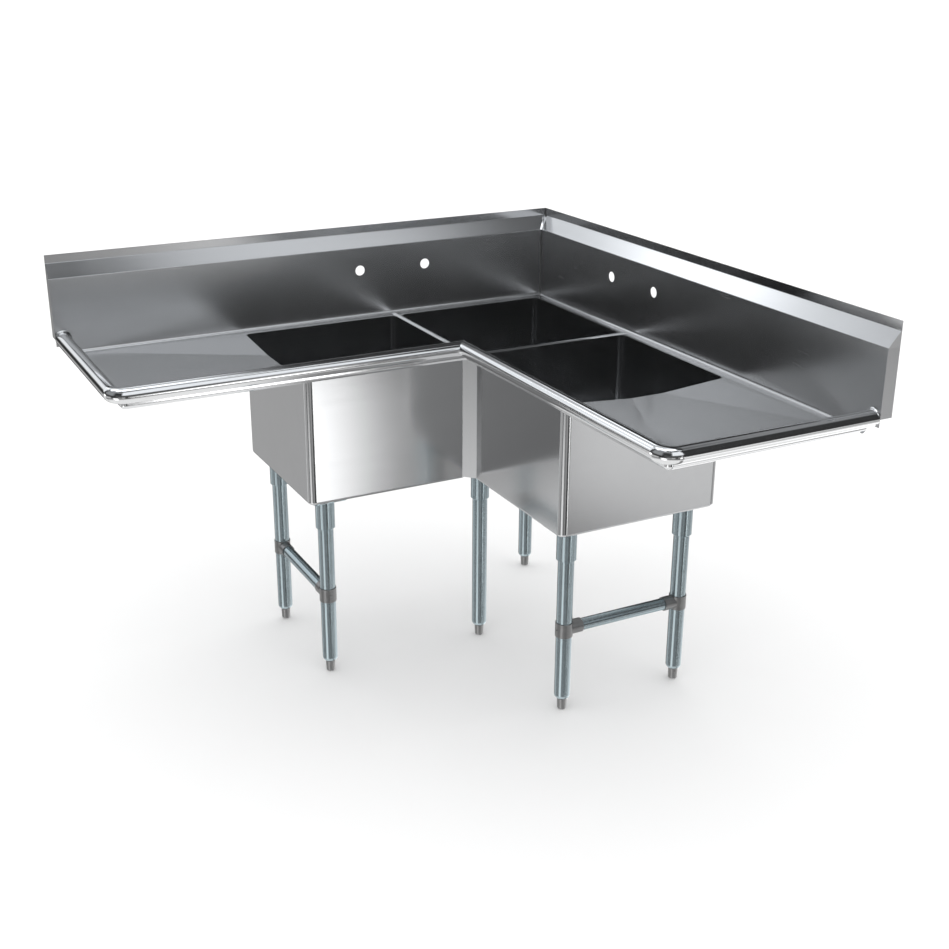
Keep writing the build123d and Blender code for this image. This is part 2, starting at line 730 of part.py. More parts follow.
def strainer(centre):
    """Lift-out crumb cup: slotted wall, pierced base, stopper below and a post with a knob."""
    seat = RECESS_FLOOR - CUP_DEPTH + CUP_WALL + BASKET_GAP
    base = seat + STOPPER_THICK
    rim = base + BASKET_DEPTH
    inner = BASKET_SHEET
    slot_ring = (BASKET_RIM_RADIUS + BASKET_BASE_RADIUS) / 2
    slot_depth = BASKET_RIM_RADIUS - BASKET_BASE_RADIUS + 4 * inner
    hole_ring = (BASKET_BASE_RADIUS + STOPPER_RADIUS) / 2 - inner / 2
    with BuildPart() as basket:
        with BuildSketch(Plane.XZ):
            with BuildLine():
                Polyline(
                    (0, seat),
                    (STOPPER_RADIUS, seat),
                    (STOPPER_RADIUS, base),
                    (BASKET_BASE_RADIUS, base),
                    (BASKET_RIM_RADIUS, rim),
                    (BASKET_RIM_RADIUS - inner, rim),
                    (BASKET_BASE_RADIUS - inner, base + inner),
                    (POST_RADIUS, base + inner),
                    (POST_RADIUS, rim - KNOB_THICK),
                    (KNOB_RADIUS, rim - KNOB_THICK / 2),
                    (KNOB_RADIUS, rim),
                    (0, rim),
                    close=True,
                )
            make_face()
        revolve(axis=Axis.Z)
        with BuildSketch(Plane.XY.offset(base - inner)):
            with PolarLocations(hole_ring, BASE_HOLE_COUNT):
                Circle(BASE_HOLE_RADIUS)
        extrude(amount=3 * inner, mode=Mode.SUBTRACT)
        with Locations((0, 0, (base + rim) / 2)):
            with PolarLocations(slot_ring, SLOT_COUNT):
                Box(slot_depth, SLOT_WIDTH, SLOT_LENGTH, mode=Mode.SUBTRACT)
    with BuildPart() as placed:
        with Locations((*centre, 0)):
            add(basket.part)
    return placed


# ---------------------------------------------------------------- build and write

os.makedirs("parts", exist_ok=True)

save_pair(splash(), "splash")
save_pair(splash_end_cap(), "splash_end_cap")
save_pair(rim_front(), "rim_front")
save_pair(rim_corner(), "rim_corner")
save_pair(rim_end(), "rim_end")
save_pair(drainboard(), "drainboard")
save_pair(board_channel(), "board_channel")
save_pair(side_bowl(), "bowl")
save_pair(divider_cap(), "divider_cap")
save(corner_bowl(), "bowl_corner")
save(corner_filler(), "corner_filler")

save(gusset_plates(), "gusset_plates")
save(foot_inserts(), "foot_inserts")
for leg_name, leg_place in LEGS.items():
    save(leg_socket(leg_place), f"leg_socket_{leg_name}")
    save(leg_tube(leg_place), f"leg_{leg_name}")
    save(foot(leg_place), f"foot_{leg_name}")
socket_screw_height = SOCKET_TOP - SOCKET_LENGTH + SOCKET_SCREW_RISE
save(set_screws(SOCKET_RADIUS, socket_screw_height, LEGS.values(), facing_wall), "socket_screws")

save_pair(clamp(LEGS["left_wall"], facing_room), "clamp_wall")
save_pair(clamp(LEGS["left_front"], facing_wall), "clamp_front")
save_pair(crossbar(), "crossbar")
wall_screw = set_screws(CLAMP_RADIUS, BAR_HEIGHT, [LEGS["left_wall"]], facing_wall)
front_screw = set_screws(CLAMP_RADIUS, BAR_HEIGHT, [LEGS["left_front"]], facing_room)
with BuildPart() as clamp_screws:
    add(wall_screw.part)
    add(front_screw.part)
    mirror(wall_screw.part, about=MITRE)
    mirror(front_screw.part, about=MITRE)
save(clamp_screws, "clamp_screws")

for bowl_name in BOWLS:
    save(drain_body(drain_centre(bowl_name)), f"drain_body_{bowl_name}")
    save(strainer(drain_centre(bowl_name)), f"strainer_{bowl_name}")
under_recess = RECESS_FLOOR - SHEET
save(drain_rings(GASKET_RADIUS, under_recess, GASKET_THICK), "drain_gaskets")
save(drain_rings(NUT_RADIUS, under_recess - GASKET_THICK, WASHER_THICK), "drain_washers")
save(lock_nuts(under_recess - GASKET_THICK - WASHER_THICK), "drain_lock_nuts")
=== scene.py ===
import json
import math

import bmesh
import bpy
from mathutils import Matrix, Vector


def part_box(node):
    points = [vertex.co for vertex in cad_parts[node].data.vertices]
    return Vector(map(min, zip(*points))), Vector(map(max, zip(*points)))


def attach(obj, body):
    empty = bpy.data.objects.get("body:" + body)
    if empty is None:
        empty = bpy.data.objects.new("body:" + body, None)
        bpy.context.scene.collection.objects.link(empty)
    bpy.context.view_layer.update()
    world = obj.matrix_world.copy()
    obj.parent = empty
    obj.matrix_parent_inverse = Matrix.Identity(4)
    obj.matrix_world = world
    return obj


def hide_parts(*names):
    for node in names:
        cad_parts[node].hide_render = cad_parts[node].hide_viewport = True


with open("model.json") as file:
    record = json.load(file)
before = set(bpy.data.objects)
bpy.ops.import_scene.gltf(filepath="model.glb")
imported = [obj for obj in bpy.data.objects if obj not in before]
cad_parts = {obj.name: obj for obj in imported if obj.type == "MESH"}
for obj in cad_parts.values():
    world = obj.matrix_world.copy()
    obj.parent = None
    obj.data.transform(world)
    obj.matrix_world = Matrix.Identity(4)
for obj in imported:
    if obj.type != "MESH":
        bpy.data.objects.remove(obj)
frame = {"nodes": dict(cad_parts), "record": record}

# The corner kitchen sink, dressed in its metals. Lengths are in metres, in the frame of the CAD.
# +X points to the right wall, +Y to the back wall, and the floor is at Z = 0.
NODES = frame["nodes"]
BODY_OF = {node: body for body, nodes in frame["record"]["behaviour"]["bodies"].items() for node in nodes}
SLOT_OF = {part["node"]: part["material_slot"] for part in frame["record"]["subparts"]}
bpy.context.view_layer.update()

SIDES = ("left", "right")
BOWLS = ("left", "corner", "right")
LEGS = ("left_wall", "left_front", "corner_wall", "corner_front", "right_front", "right_wall")
DECK = 0.8554
SMOOTH_ANGLE, SKIN_SMOOTH_ANGLE = math.radians(32), math.radians(50)
CAD_JOIN, SKIN_JOIN = 2e-6, 1e-6
FACE_END = (1.052, 1.056)  # the heights between which the splash's face gives way to its return
MIX_AMOUNT, MIX_DARK, MIX_LIGHT, MIX_RESULT = 0, 6, 7, 2  # the places of a Mix node's colour sockets
UP = (0, 0, 1)


# ---------------------------------------------------------------- node trees
class Link:
    """A node's output. Sums and products of links and numbers become Math nodes."""

    def __init__(self, tree, socket):
        self.tree, self.socket = tree, socket

    def math(self, operation, *values):
        return self.tree.node("ShaderNodeMath", {"operation": operation}, *values)

    def __add__(self, other):
        return self.math("ADD", self, other)

    def __radd__(self, other):
        return self.math("ADD", other, self)

    def __sub__(self, other):
        return self.math("SUBTRACT", self, other)

    def __rsub__(self, other):
        return self.math("SUBTRACT", other, self)

    def __mul__(self, other):
        return self.math("MULTIPLY", self, other)

    def __rmul__(self, other):
        return self.math("MULTIPLY", other, self)

    def __truediv__(self, other):
        return self.math("DIVIDE", self, other)

    def step(self, start, end):
        """0 before start, 1 after end, smooth between."""
        return self.tree.node(
            "ShaderNodeMapRange", {"interpolation_type": "SMOOTHSTEP"}, self, start, end, 0.0, 1.0
        )


class Tree:
    """A node tree that is written as calls and sums."""

    def __init__(self, tree):
        self.tree = tree
        tree.nodes.clear()

    def node(self, kind, settings=None, *values, out=0, **named):
        """Adds a node: its settings first, then its sockets by place or by name. Gives back one output."""
        made = self.tree.nodes.new(kind)
        for key, value in (settings or {}).items():
            setattr(made, key, value)
        for place, value in enumerate(values):
            self.put(made.inputs[place], value)
        for key, value in named.items():
            self.put(made.inputs[key.replace("_", " ")], value)
        return Link(self, made.outputs[out]) if made.outputs else None

    def put(self, socket, value):
        """Links or sets a socket. None leaves it as it is."""
        if isinstance(value, Link):
            self.tree.links.new(value.socket, socket)
        elif value is not None:
            socket.default_value = value


class Finish(Tree):
    """A material, or the studio's light, built from nodes."""

    def __init__(self, holder):
        holder.use_nodes = True
        self.holder = holder
        super().__init__(holder.node_tree)

    def place(self, scale=(1.0, 1.0, 1.0)):
        """The piece's own coordinates, scaled."""
        here = self.node("ShaderNodeTexCoord", out="Object")
        return self.node("ShaderNodeMapping", None, here, Scale=scale)

    def noise(self, where, scale, detail, roughness):
        return self.node("ShaderNodeTexNoise", None, where, Scale=scale, Detail=detail, Roughness=roughness)

    def tint(self, amount, dark, light):
        """A colour between two, by amount."""
        kind = {"data_type": "RGBA", "blend_type": "MIX", "clamp_factor": True}
        mixed = self.node("ShaderNodeMix", kind, out=MIX_RESULT)
        for place, value in ((MIX_AMOUNT, amount), (MIX_DARK, dark), (MIX_LIGHT, light)):
            self.put(mixed.socket.node.inputs[place], value)
        return mixed

    def surface(self, colour, roughness, bump=None, strength=0.1, distance=0.001, **fixed):
        """Ends the material in one Principled shader."""
        normal = None
        if bump is not None:
            normal = self.node("ShaderNodeBump", None, Strength=strength, Distance=distance, Height=bump)
        shader = self.node(
            "ShaderNodeBsdfPrincipled", None, Base_Color=colour, Roughness=roughness, Normal=normal,
            **fixed,
        )
        self.node("ShaderNodeOutputMaterial", None, shader)
        return self.holder


class Rule(Tree):
    """A Geometry Nodes tree: a host mesh and named sizes in, one painted mesh out."""

    def __init__(self, name, **sizes):
        super().__init__(bpy.data.node_groups.new(name, "GeometryNodeTree"))
        sockets = self.tree.interface
        sockets.new_socket("Host", in_out="INPUT", socket_type="NodeSocketGeometry")
        for size, value in sizes.items():
            kind = "NodeSocketInt" if isinstance(value, int) else "NodeSocketFloat"
            sockets.new_socket(size, in_out="INPUT", socket_type=kind).default_value = value
        sockets.new_socket("Material", in_out="INPUT", socket_type="NodeSocketMaterial")
        sockets.new_socket("Mesh", in_out="OUTPUT", socket_type="NodeSocketGeometry")
        self.given = self.tree.nodes.new("NodeGroupInput").outputs

    def size(self, name):
        return Link(self, self.given[name])

    def raised(self, shape, height):
        """The shape, moved up its own axis."""
        offset = self.node("ShaderNodeCombineXYZ", None, Z=height)
        return self.node("GeometryNodeTransform", None, shape, Translation=offset)

    def swept(self, path, radius, corners, swell=None):
        """A bar with a round section of so many corners along a path."""
        ring = self.node(
            "GeometryNodeCurvePrimitiveCircle", {"mode": "RADIUS"}, Resolution=corners, Radius=radius
        )
        return self.node("GeometryNodeCurveToMesh", None, path, ring, Scale=swell, Fill_Caps=True)

    def joined(self, *shapes):
        both = self.node("GeometryNodeJoinGeometry")
        for shape in shapes:
            self.put(both.socket.node.inputs[0], shape)
        return both

    def at_each_point(self, shape):
        """The shape on every point of the host, with its own axis along the point's aim."""
        aim = self.node("GeometryNodeInputNamedAttribute", {"data_type": "FLOAT_VECTOR"}, "aim")
        turned = self.node("FunctionNodeAlignRotationToVector", {"axis": "Z"}, Vector=aim)
        points = self.size("Host")
        return self.node("GeometryNodeInstanceOnPoints", None, points, Instance=shape, Rotation=turned)

    def close(self, shape):
        """Ends the rule with the shape as real mesh, in the material that the piece is given."""
        real = self.node("GeometryNodeRealizeInstances", None, shape)
        painted = self.node("GeometryNodeSetMaterial", None, real, Material=self.size("Material"))
        self.node("NodeGroupOutput", None, painted)
        return self


def grey(value, blue=0.0):
    """A grey, with a little more green and blue in it when blue is given."""
    return (value, value * (1 + 0.4 * blue), value * (1 + blue), 1.0)


# ---------------------------------------------------------------- finishes
def brushed(name, along, tone, roughness, duller_face=0.0):
    """Satin sheet: fine brush lines that run along one axis, with soft clouds and specks.
    duller_face adds roughness below the splash's return."""
    finish = Finish(bpy.data.materials.new(name))
    blue, grain = 0.02, 0.4
    fine, coarse = [900.0] * 3, [60.0] * 3
    fine["XYZ".index(along)], coarse["XYZ".index(along)] = 9.0, 2.5
    lines = finish.noise(finish.place(fine), 1.0, 3.0, 0.6)
    bands = finish.noise(finish.place(coarse), 1.0, 2.0, 0.5)
    cloud = finish.noise(finish.place(), 7.0, 3.0, 0.5)
    speck = finish.noise(finish.place(), 420.0, 2.0, 0.7)
    amount = 0.5 + grain * (
        0.30 * (lines - 0.5) + 0.35 * (bands - 0.5) + 0.45 * (cloud - 0.5) + 0.80 * (speck - 0.5)
    )
    colour = finish.tint(amount, grey(tone * 0.82, blue), grey(tone * 1.18, blue))
    rough = roughness + grain * (0.10 * (lines - 0.5) + 0.08 * (cloud - 0.5))
    if duller_face:
        height = finish.node("ShaderNodeSeparateXYZ", None, finish.place(), out="Z")
        rough = rough + duller_face * (1.0 - height.step(*FACE_END))
    return finish.surface(colour, rough, bump=lines, strength=0.012, distance=0.0003, Metallic=1.0)


def polished(name, tone=0.86, roughness=0.10):
    """Polished rolled edge: nearly a mirror, with faint drawing lines."""
    finish = Finish(bpy.data.materials.new(name))
    cloud = finish.noise(finish.place(), 30.0, 3.0, 0.6)
    drawn = finish.noise(finish.place((4.0, 4.0, 900.0)), 1.0, 2.0, 0.5)
    colour = finish.tint(cloud, grey(tone * 0.95, 0.015), grey(tone * 1.04, 0.015))
    return finish.surface(
        colour, roughness + 0.06 * (cloud - 0.5) + 0.03 * (drawn - 0.5), bump=cloud, strength=0.03,
        distance=0.0006, Metallic=1.0,
    )


def galvanised(name, tone=0.50):
    """Zinc-coated tube: a soft blue-grey spangle with a dull sheen."""
    finish = Finish(bpy.data.materials.new(name))
    spangle = finish.noise(finish.place(), 170.0, 1.0, 0.4)
    cloud = finish.noise(finish.place(), 24.0, 4.0, 0.6)
    amount = 0.5 + 0.5 * (spangle - 0.5) + 0.6 * (cloud - 0.5)
    colour = finish.tint(
        amount, (tone * 0.80, tone * 0.95, tone * 1.01, 1), (tone * 1.00, tone * 1.18, tone * 1.25, 1)
    )
    return finish.surface(
        colour, 0.22 + 0.10 * (spangle - 0.5) + 0.06 * (cloud - 0.5), bump=cloud, strength=0.02,
        distance=0.0003, Metallic=0.94,
    )


def casting(name, tone, roughness):
    """Plated iron casting with a pebbled skin."""
    finish = Finish(bpy.data.materials.new(name))
    skin = finish.noise(finish.place(), 700.0, 4.0, 0.6)
    cloud = finish.noise(finish.place(), 60.0, 3.0, 0.5)
    colour = finish.tint(0.5 * skin + 0.5 * cloud, grey(tone * 0.78), grey(tone * 1.28))
    return finish.surface(
        colour, roughness + 0.15 * (cloud - 0.5), bump=skin, strength=0.14, distance=0.0004,
        Metallic=0.92,
    )


def plated(name, tone, roughness):
    """Plated drain and screw metal with a light handling haze."""
    finish = Finish(bpy.data.materials.new(name))
    cloud = finish.noise(finish.place(), 90.0, 4.0, 0.6)
    colour = finish.tint(cloud, grey(tone * 0.86), grey(tone * 1.12, 0.01))
    return finish.surface(
        colour, roughness + 0.12 * (cloud - 0.5), bump=cloud, strength=0.03, distance=0.0003,
        Metallic=1.0,
    )


def soft_washer(name, dark, light, roughness):
    """Rubber or pressed fibre."""
    finish = Finish(bpy.data.materials.new(name))
    cloud = finish.noise(finish.place(), 500.0, 4.0, 0.7)
    return finish.surface(
        finish.tint(cloud, dark, light), roughness + 0.1 * (cloud - 0.5), bump=cloud, strength=0.2,
        distance=0.0004, Metallic=0.0,
    )


BRUSHED_ALONG = {"left": "X", "corner": "X", "right": "Y"}
SHEET = {
    side: brushed(f"satin_sheet_{side}", BRUSHED_ALONG[side], 0.62, 0.15, duller_face=0.11)
    for side in SIDES
}
BOARD = {side: brushed(f"drainboard_sheet_{side}", BRUSHED_ALONG[side], 0.60, 0.20) for side in SIDES}
BOWL_SHEET = {bowl: brushed(f"bowl_sheet_{bowl}", BRUSHED_ALONG[bowl], 0.62, 0.15) for bowl in BOWLS}
FILLER = brushed("filler_sheet", "Z", 0.66, 0.30)
ROLL = polished("polished_rim")
ZINC = galvanised("galvanised_steel")
IRON = casting("clamp_casting", 0.30, 0.34)
FOOT = casting("foot_casting", 0.33, 0.36)
BEAD = plated("weld_bead_steel", 0.30, 0.36)
SCREW = plated("zinc_screw", 0.42, 0.32)
DRAIN = plated("drain_plating", 0.66, 0.18)
STRAINER = plated("strainer_steel", 0.64, 0.16)
RUBBER = soft_washer("black_rubber", (0.012, 0.012, 0.012, 1), (0.03, 0.03, 0.03, 1), 0.6)
FIBRE = soft_washer("pressed_fibre", (0.16, 0.09, 0.05, 1), (0.26, 0.16, 0.09, 1), 0.8)


# ---------------------------------------------------------------- pieces
def paint(piece, material):
    piece.data.materials.clear()
    piece.data.materials.append(material)
    return piece


def settled(piece, modifier):
    """Keeps what a modifier makes of a piece as its plain mesh."""
    graph = bpy.context.evaluated_depsgraph_get()
    mesh = bpy.data.meshes.new_from_object(piece.evaluated_get(graph), depsgraph=graph)
    piece.modifiers.remove(modifier)
    piece.data = mesh
    return piece


def merged(node, name):
    """A copy of a CAD node with its triangles joined, smooth where it curves and level on its flat faces."""
    shape = bmesh.new()
    shape.from_mesh(NODES[node].data)
    bmesh.ops.remove_doubles(shape, verts=shape.verts, dist=CAD_JOIN)
    corners = [vertex.co[:] for vertex in shape.verts]
    shape.verts.index_update()
    faces = [[vertex.index for vertex in face.verts] for face in shape.faces]
    shape.free()
    mesh = bpy.data.meshes.new(name)
    mesh.from_pydata(corners, [], faces)
    mesh.shade_smooth()
    mesh.set_sharp_from_angle(angle=SMOOTH_ANGLE)
    piece = bpy.data.objects.new(name, mesh)
    bpy.context.scene.collection.objects.link(piece)
    level = piece.modifiers.new(name, "WEIGHTED_NORMAL")
    level.keep_sharp = True
    return settled(piece, level)


def dress(node, material, name):
    """Stands a smooth copy in a node's place, on the node's body, in the material that it is given."""
    piece = paint(merged(node, name), material)
    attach(piece, BODY_OF[node])
    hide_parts(node)
    return piece


for side in SIDES:
    dress(f"splash_{side}", SHEET[side], f"splash_sheet_{side}")
    paint(NODES[f"splash_end_cap_{side}"], SHEET[side])
    paint(NODES[f"drainboard_{side}"], BOARD[side])
    for part in ("rim_front", "rim_corner", "rim_end"):
        dress(f"{part}_{side}", ROLL, f"{part}_roll_{side}")
    paint(NODES[f"divider_cap_{side}"], ROLL)
    paint(NODES[f"board_channel_{side}"], ZINC)
    dress(f"crossbar_{side}", ZINC, f"crossbar_tube_{side}")
    for place in ("wall", "front"):
        dress(f"clamp_{place}_{side}", IRON, f"clamp_body_{place}_{side}")

paint(NODES["corner_filler"], FILLER)
for bowl in BOWLS:
    dress(f"bowl_{bowl}", BOWL_SHEET[bowl], f"bowl_shell_{bowl}")
    dress(f"drain_body_{bowl}", DRAIN, f"drain_cup_{bowl}")
    dress(f"strainer_{bowl}", STRAINER, f"strainer_cup_{bowl}")

dress("gusset_plates", ZINC, "gusset_sheets")
dress("foot_inserts", ZINC, "foot_insert_shoulders")
for leg in LEGS:
    dress(f"leg_socket_{leg}", ZINC, f"socket_tube_{leg}")
    dress(f"leg_{leg}", ZINC, f"leg_tube_{leg}")
dress("drain_lock_nuts", DRAIN, "lock_nuts")
dress("drain_gaskets", RUBBER, "gasket_rings")
dress("drain_washers", FIBRE, "washer_rings")


# ---------------------------------------------------------------- pieces that repeat or follow a path
def grown(rule, name, material, corners, edges=(), aims=None, **sizes):
    """Runs a rule on a host of points or edges, and keeps the plain mesh that it gives."""
    host = bpy.data.meshes.new(name)
    host.from_pydata(corners, edges, [])
    facing = host.attributes.new("aim", "FLOAT_VECTOR", "POINT")
    facing.data.foreach_set("vector", [part for aim in aims or [UP] * len(corners) for part in aim])
    piece = bpy.data.objects.new(name, host)
    bpy.context.scene.collection.objects.link(piece)
    modifier = piece.modifiers.new(name, "NODES")
    modifier.node_group = rule.tree
    for socket in rule.tree.interface.items_tree:
        if socket.in_out == "INPUT" and socket.name in sizes:
            modifier[socket.identifier] = sizes[socket.name]
        if socket.name == "Material":
            modifier[socket.identifier] = material
    settled(piece, modifier)
    piece.data.shade_smooth()
    piece.data.set_sharp_from_angle(angle=SMOOTH_ANGLE)
    return piece


def fit(piece, body, slot, *replaced):
    """Puts a piece on its body, in the place of the nodes that it replaces. Its slot is not used."""
    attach(piece, body)
    if replaced:
        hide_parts(*replaced)
    return piece


def centre(node):
    """The middle of a node's box in plan."""
    low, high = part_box(node)
    return ((low[0] + high[0]) / 2, (low[1] + high[1]) / 2)


def run_of(points, closed=False):
    """Corners and edges of one run of points."""
    edges = [(i, i + 1) for i in range(len(points) - 1)]
    return points, edges + ([(len(points) - 1, 0)] if closed else [])


def many(runs):
    """Several runs as one host."""
    corners, edges = [], []
    for points, links in runs:
        edges += [(a + len(corners), b + len(corners)) for a, b in links]
        corners += points
    return corners, edges


def hoop(middle, radius, height):
    """A closed run round a middle."""
    x, y = middle
    turns = [2 * math.pi * step / HOOP_STEPS for step in range(HOOP_STEPS)]
    return run_of([(x + radius * math.cos(t), y + radius * math.sin(t), height) for t in turns], True)


def grub_screw_rule():
    """A grub screw with a hexagon socket and a fine thread."""
    rule = Rule("grub_screw", Radius=0.003, Length=0.006, Hexagon=0.0017, Pitch=0.0008)
    radius, length, hexagon = rule.size("Radius"), rule.size("Length"), rule.size("Hexagon")
    core_radius, ridge = 0.92 * radius, 0.08 * radius
    threaded, bare_end = 0.92 * length, 0.04 * length
    core = rule.node("GeometryNodeMeshCylinder", None, Vertices=32, Radius=core_radius, Depth=length)
    key = rule.node("GeometryNodeMeshCylinder", None, Vertices=6, Radius=hexagon, Depth=length)
    body = rule.node(
        "GeometryNodeMeshBoolean", {"operation": "DIFFERENCE"},
        rule.raised(core, 0.5 * length), rule.raised(key, length),
    )
    helix = rule.node(
        "GeometryNodeCurveSpiral", None, Resolution=20, Rotations=threaded / rule.size("Pitch"),
        Start_Radius=core_radius, End_Radius=core_radius, Height=threaded,
    )
    thread = rule.raised(rule.swept(helix, ridge, 3), bare_end)
    return rule.close(rule.at_each_point(rule.joined(body, thread)))


def thread_rule():
    """A screw thread that winds up from each point. Radius is over its crests."""
    rule = Rule("screw_thread", Radius=0.0079, Height=0.042, Pitch=0.002, Ridge=0.0005)
    middle, height = rule.size("Radius") - rule.size("Ridge"), rule.size("Height")
    helix = rule.node(
        "GeometryNodeCurveSpiral", None, Resolution=32, Rotations=height / rule.size("Pitch"),
        Start_Radius=middle, End_Radius=middle, Height=height,
    )
    return rule.close(rule.at_each_point(rule.swept(helix, rule.size("Ridge"), 4)))


def weld_rule():
    """A weld bead along every run, with the ripple of its pools."""
    rule = Rule("weld_bead", Radius=0.002, Pool=0.0022, Ripple=0.13)
    path = rule.node("GeometryNodeMeshToCurve", None, rule.size("Host"))
    fine = rule.node("GeometryNodeResampleCurve", {"mode": "LENGTH"}, path, Length=0.25 * rule.size("Pool"))
    along = rule.node("GeometryNodeSplineParameter", out="Length")
    wave = along.math("SINE", along * (2 * math.pi) / rule.size("Pool"))
    return rule.close(rule.swept(fine, rule.size("Radius"), 8, 1.0 + rule.size("Ripple") * wave))


def lofted(name, material, rows):
    """A closed skin over rows of points, each row one section of the same number of points."""
    count = len(rows[0])
    starts = [row * count for row in range(len(rows))]
    faces = [
        (start + i, start + (i + 1) % count, after + (i + 1) % count, after + i)
        for start, after in zip(starts, starts[1:]) for i in range(count)
    ]
    faces += [tuple(start + i for i in range(count)) for start in (starts[0], starts[-1])]
    mesh = bpy.data.meshes.new(name)
    mesh.from_pydata([point for row in rows for point in row], [], faces)
    shape = bmesh.new()
    shape.from_mesh(mesh)
    bmesh.ops.remove_doubles(shape, verts=shape.verts, dist=SKIN_JOIN)
    bmesh.ops.recalc_face_normals(shape, faces=shape.faces)
    shape.to_mesh(mesh)
    shape.free()
    mesh.shade_smooth()
    mesh.set_sharp_from_angle(angle=SKIN_SMOOTH_ANGLE)
    piece = bpy.data.objects.new(name, mesh)
    bpy.context.scene.collection.objects.link(piece)
    return paint(piece, material)


TO_WALL = {"left": (0, 1, 0), "right": (1, 0, 0)}
TO_ROOM = {"left": (0, -1, 0), "right": (-1, 0, 0)}
LEG_RADIUS, SOCKET_RADIUS, CLAMP_RADIUS = 0.02065, 0.0254, 0.0227
SCREW_RADIUS, SCREW_PROUD = 0.003, 0.0015
FOOT_HEIGHT, STUD_LENGTH, STUD_RADIUS, STUD_CORE = 0.033, 0.042, 0.0079, 0.0071
HOOP_STEPS = 48

GRUB_SCREW, THREAD, WELD = grub_screw_rule(), thread_rule(), weld_rule()


def from_leg(leg, aim, height):
    """Where a screw that runs along aim starts on a leg's skin."""
    x, y = centre(f"leg_{leg}")
    return (x + LEG_RADIUS * aim[0], y + LEG_RADIUS * aim[1], height)


def screws(name, node, reach, starts):
    """Grub screws through a wall whose outer face is at reach from the leg's middle, in a node's place."""
    low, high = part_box(node)
    middle = (low[2] + high[2]) / 2
    length = reach + SCREW_PROUD - LEG_RADIUS
    corners = [from_leg(leg, aim, middle) for leg, aim in starts]
    aims = [aim for leg, aim in starts]
    piece = grown(GRUB_SCREW, name, SCREW, corners, aims=aims, Radius=SCREW_RADIUS, Length=length)
    fit(piece, BODY_OF[node], SLOT_OF[node], node)


screws("socket_grub_screws", "socket_screws", SOCKET_RADIUS, [(leg, TO_WALL["left"]) for leg in LEGS])
screws("clamp_grub_screws", "clamp_screws", CLAMP_RADIUS, [
    (f"{side}_{place}", aim[side]) for side in SIDES for place, aim in (("wall", TO_WALL), ("front", TO_ROOM))
])

# the feet's studs, drawn in to their core, with the thread round it
STUD_FROM = FOOT_HEIGHT + 0.0001
THREAD_FROM, THREAD_HEIGHT = FOOT_HEIGHT + 0.001, STUD_LENGTH - 0.003
for leg in LEGS:
    shoe = dress(f"foot_{leg}", FOOT, f"foot_bullet_{leg}")
    x, y = centre(f"foot_{leg}")
    for vertex in shoe.data.vertices:
        if vertex.co.z > STUD_FROM:
            vertex.co.x = x + (vertex.co.x - x) * STUD_CORE / STUD_RADIUS
            vertex.co.y = y + (vertex.co.y - y) * STUD_CORE / STUD_RADIUS
    foot_thread = grown(
        THREAD, f"foot_thread_{leg}", SCREW, [(x, y, THREAD_FROM)], Radius=STUD_RADIUS, Height=THREAD_HEIGHT
    )
    fit(foot_thread, BODY_OF[f"foot_{leg}"], "screw_steel")

# the inner corner of the splash, welded and ground to a small round, which widens up its sloping return
HALF, SPLASH_FACE, SHEET_THICK, COVE = 0.74295, 0.0334, 0.0015, 0.010
SPLASH_TOP, LIP_FOOT, SLOPE_FOOT = 1.11125, 1.08995, 1.05475
ARC = [math.radians(step * 11.25) for step in range(9)]
BURIED = 0.0004  # how deep a weld's hidden edge lies in the sheet
FACE_ROUND, RETURN_ROUNDS, LIP_ROUND = 0.0034, (0.0055, 0.0115), 0.003


def splash_reach(height):
    """How far the splash's show side stands from its wall at a height."""
    if height > LIP_FOOT:
        return SHEET_THICK
    if height > SLOPE_FOOT:
        return SHEET_THICK + (SPLASH_FACE - SHEET_THICK) * (LIP_FOOT - height) / (LIP_FOOT - SLOPE_FOOT)
    if height > DECK + COVE:
        return SPLASH_FACE
    return SPLASH_FACE + COVE * (1 - math.sin(math.acos(min(1.0, (DECK + COVE - height) / COVE))))


def corner_section(height, size):
    """Level section of a round of a size in the corner where the two splashes meet."""
    reach = splash_reach(height)
    inside = [(reach + size * (1 - math.sin(a)), reach + size * (1 - math.cos(a))) for a in ARC]
    buried = reach - BURIED
    return [(HALF - x, HALF - y, height) for x, y in inside + [(buried, buried)]]


cove_heights = [DECK + COVE * (1 - math.cos(math.radians(degrees))) for degrees in range(0, 91, 15)]
face_rows = [corner_section(z, FACE_ROUND) for z in cove_heights + [SLOPE_FOOT]]
mitre_rows = [corner_section(z, size) for z, size in zip((SLOPE_FOOT, LIP_FOOT), RETURN_ROUNDS)]
lip_rows = [corner_section(z, LIP_ROUND) for z in (LIP_FOOT, SPLASH_TOP)]
fit(lofted("splash_corner_weld", BEAD, face_rows), "sink", "satin_stainless")
fit(lofted("return_corner_weld", ROLL, mitre_rows), "sink", "polished_stainless")
fit(lofted("lip_corner_weld", BEAD, lip_rows), "sink", "satin_stainless")

# the end rolls, welded to the splash with a ground round
ROLL_RADIUS, ROLL_Z, ROLL_END = 0.01905, 0.89535, 1.46685
END_ROUND = 0.006


def end_section(along, height, out_along, out_up, size):
    """Section of the round where the rim's skin meets the splash's face. out points away from the skin."""
    across = [(size * (1 - math.sin(a)), size * (1 - math.cos(a))) for a in ARC]
    skin = [(along + out_along * up, SPLASH_FACE + away, height + out_up * up) for up, away in across]
    buried = (along - out_along * BURIED, SPLASH_FACE - BURIED, height - out_up * BURIED)
    return [(HALF - a, HALF - b, z) for a, b, z in skin + [buried]]


